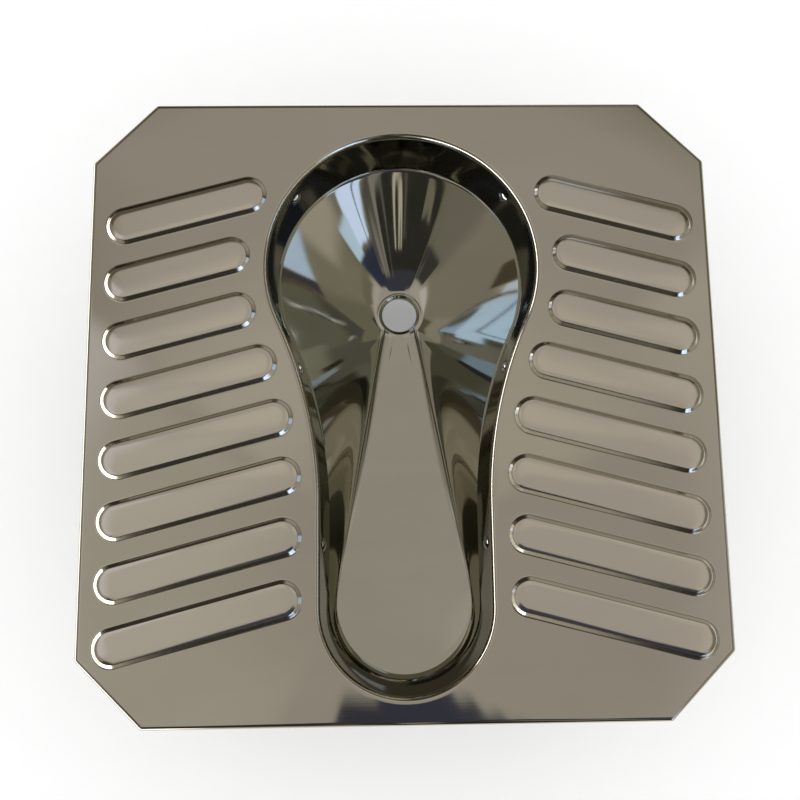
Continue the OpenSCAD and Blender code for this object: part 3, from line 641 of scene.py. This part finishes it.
def studio_floor():
    """Pale floor, white to the camera, that keeps the shadow and has painted shade under the outlet."""
    mesh = bpy.data.meshes.new("studio_floor")
    s = FLOOR_HALF
    mesh.from_pydata([(-s, -s, 0), (s, -s, 0), (s, s, 0), (-s, s, 0)], [], [(0, 1, 2, 3)])
    obj = bpy.data.objects.new("studio_floor", mesh)
    bpy.context.scene.collection.objects.link(obj)
    mat, n, place = new_material("floor_paint")
    speck = n.noise(place, 40.0, 3.0)
    colour = n.mix(speck, (0.90, 0.90, 0.90), (0.93, 0.93, 0.93))
    # Painted shade under the outlet, fading out between SHADE_IN and SHADE_OUT.
    below = n.add("ShaderNodeVectorMath", {0: place, 1: (0.0, OUTLET_Y * MM, 0.0)}, operation="DISTANCE")
    open_floor = n.remap(below.outputs["Value"], SHADE_IN, SHADE_OUT, 0.0, 1.0)
    colour = n.mix(open_floor, PAINTED_SHADE_COLOUR, colour)
    rays = n.add("ShaderNodeLightPath")
    seen = n.math("MAXIMUM", rays.outputs["Is Camera Ray"], rays.outputs["Is Glossy Ray"])
    seen = n.math("MAXIMUM", seen, rays.outputs["Is Transmission Ray"])
    strength = n.math("MULTIPLY", n.math("MULTIPLY", seen, open_floor), FLOOR_GLOW)
    glow = n.add("ShaderNodeEmission", {"Color": (1, 1, 1, 1), "Strength": strength})
    paint = n.add("ShaderNodeBsdfDiffuse", {"Color": colour})
    both = n.add("ShaderNodeAddShader", {0: paint.outputs[0], 1: glow.outputs[0]})
    out = n.add("ShaderNodeOutputMaterial")
    n.tree.links.new(both.outputs[0], out.inputs[0])
    mesh.materials.append(mat)


# What the steel mirrors, by direction. Each area is a middle azimuth and elevation, half widths and softness,
# all in degrees, and a colour. Later areas lie over earlier ones, and all lie over plain walls, which become
# the ceiling between the two elevations of CEILING_EDGE. The LIGHT values are what dull surfaces receive.
WALL_TONE, CEILING_TONE, CEILING_EDGE = (0.205, 0.20, 0.15), (0.475, 0.462, 0.435), (56.5, 62.5)
LIGHT_LOW, LIGHT_HIGH, LIGHT_EDGE = (0.42, 0.42, 0.42), (1.12, 1.12, 1.12), (12.0, 42.0)
ROOM = [
    ("left wall", 180, 35, 50, 30, 20, (0.29, 0.275, 0.235)),
    ("back wall", 222, 35, 14, 22, 12, (0.22, 0.21, 0.18)),
    ("right wall", 350, 38, 22, 18, 14, (0.28, 0.265, 0.21)),
    ("front wall", 97, 14.5, 45, 45, 2.5, (0.13, 0.115, 0.085)),
    ("left front", 134, 34, 14, 10, 6, (0.35, 0.33, 0.28)),
    ("front right", 66, 4, 18, 16, 8, (0.34, 0.31, 0.25)),
    ("back light", 254, 10, 16, 14, 4, (0.45, 0.42, 0.36)),
    ("back low", 224, 20, 19, 11, 5, (0.38, 0.36, 0.29)),
    ("left low", 190, 15, 28, 6, 5, (0.58, 0.55, 0.46)),
    ("right wall low", 20, -5, 62, 18, 10, (0.42, 0.40, 0.36)),
    ("right of window", 333, 27, 14, 12, 10, (0.50, 0.47, 0.42)),
    ("dark front floor", 108, 0, 18, 34, 8, (0.035, 0.03, 0.025)),
    ("ceiling glow right", 48, 78, 22, 5, 8, (0.57, 0.55, 0.50)),
    ("ceiling glow left", 121, 78, 18, 5, 8, (0.59, 0.575, 0.53)),
    ("left zenith", 190, 76, 46, 6, 8, (0.54, 0.535, 0.49)),
    ("right wall high", 352, 59, 20, 5, 3, (0.21, 0.205, 0.155)),
    ("left ceiling", 172, 68, 32, 4, 4, (0.69, 0.69, 0.72)),
    ("right ceiling", 5, 67, 38, 4, 6, (0.57, 0.55, 0.52)),
    ("neck light", 70, 54.5, 8, 2.7, 2, (0.46, 0.52, 0.62)),
    ("right dark band", 42, 54.5, 8, 4, 2, (0.08, 0.07, 0.045)),
    ("left glow", 200, -18, 58, 30, 4, (5.4, 5.5, 5.6)),
    ("left figure", 171, 21, 5.5, 3.5, 1.5, (0.09, 0.075, 0.05)),
    ("left gleam", 160, 16, 5, 4, 1.5, (0.7, 0.85, 1.1)),
    ("person", 268, 57, 27, 19, 4, (0.035, 0.034, 0.03)),
    ("person low", 281, 20, 11, 20, 3, (0.035, 0.034, 0.03)),
    ("coat", 262, 32, 9, 8, 3, (0.05, 0.048, 0.04)),
    ("shoulder", 227, 60, 13, 8, 3, (0.055, 0.055, 0.05)),
    ("head", 279, 71, 33, 6.8, 1.5, (0.055, 0.06, 0.082)),
    ("head middle", 279, 75.3, 29, 4, 1.5, (0.054, 0.06, 0.086)),
    ("head upper", 281.7, 77.4, 21.8, 3.5, 1.5, (0.052, 0.06, 0.09)),
    ("head top", 283, 79.5, 15, 4, 1.5, (0.052, 0.06, 0.095)),
    ("head left", 262, 79, 8, 3.2, 1.5, (0.055, 0.06, 0.085)),
    ("sleeve light", 289, 52, 4, 15, 3, (0.30, 0.29, 0.28)),
    ("fold one", 273.5, 49, 1.8, 7, 1, (0.66, 0.63, 0.53)),
    ("fold two", 267, 44, 1.2, 9, 1, (0.14, 0.125, 0.10)),
    ("fold three", 249, 43, 1.6, 4, 1, (0.25, 0.23, 0.19)),
    ("curtain", 309, 61, 13, 10, 3, (0.04, 0.05, 0.09)),
    ("window", 306, 35.5, 8.5, 13.5, 1.5, (0.95, 1.2, 1.75)),
    ("window right", 318, 45, 5, 6, 2, (0.7, 0.95, 1.3)),
    ("window low", 299.5, 17, 9.5, 7, 1.5, (1.5, 2.0, 2.9)),
    ("window middle", 309.5, 26.5, 10.5, 5, 1.5, (1.5, 1.95, 2.8)),
    ("mullion", 303, 30, 0.7, 20, 0.6, (0.12, 0.15, 0.26)),
    ("right gleam", 356, 19, 11, 7, 2, (0.6, 0.80, 1.12)),
    ("right figure", 12, 20.5, 4.5, 6, 1.5, (0.06, 0.055, 0.065)),
]


def studio_world():
    """Even white light; polished metal mirrors a soft room with a window."""
    world = bpy.data.worlds.new("studio")
    bpy.context.scene.world = world
    world.use_nodes = True
    n = Nodes(world.node_tree)
    place = n.add("ShaderNodeTexCoord").outputs["Generated"]
    part = n.add("ShaderNodeSeparateXYZ", {0: place})
    az = n.math("MULTIPLY", n.math("ARCTAN2", part.outputs[1], part.outputs[0]), 180 / pi)
    el = n.math("MULTIPLY", n.math("ARCSINE", part.outputs[2]), 180 / pi)
    room = n.mix(n.remap(el, *CEILING_EDGE, 0.0, 1.0), WALL_TONE, CEILING_TONE)
    for _, a, e, wa, we, soft, colour in ROOM:
        turn = n.math("WRAP", n.math("SUBTRACT", az, float(a)), 180.0)
        turn.node.inputs[2].default_value = -180.0
        across = n.remap(n.math("ABSOLUTE", turn), wa - soft / 2, wa + soft / 2, 1.0, 0.0)
        off = n.math("ABSOLUTE", n.math("SUBTRACT", el, float(e)))
        up = n.remap(off, we - soft / 2, we + soft / 2, 1.0, 0.0)
        for socket in (across, up):
            socket.node.interpolation_type = "SMOOTHSTEP"
        room = n.mix(n.math("MULTIPLY", across, up), room, colour)
    rays = n.add("ShaderNodeLightPath")
    light = n.mix(n.remap(el, *LIGHT_EDGE, 0.0, 1.0), LIGHT_LOW, LIGHT_HIGH)
    colour = n.mix(rays.outputs["Is Diffuse Ray"], (1.0, 1.0, 1.0), light)
    colour = n.mix(rays.outputs["Is Glossy Ray"], colour, room)
    back = n.add("ShaderNodeBackground", {"Color": colour, "Strength": 1.0})
    out = n.add("ShaderNodeOutputWorld")
    n.tree.links.new(back.outputs[0], out.inputs[0])


def camera():
    """The photo's view: almost straight down, from a little behind the middle."""
    data = bpy.data.cameras.new("camera")
    data.lens, data.sensor_width = 43.65, 36.0
    data.clip_start, data.clip_end = 0.05, 50.0
    obj = bpy.data.objects.new("camera", data)
    obj.location = (-0.02393, -0.14980, 1.16382)
    obj.rotation_euler = [radians(v) for v in (9.3716, -1.1701, -0.7994)]
    bpy.context.scene.collection.objects.link(obj)
    bpy.context.scene.camera = obj


studio_floor()
studio_world()
camera()
bpy.context.scene.view_settings.view_transform = "Standard"
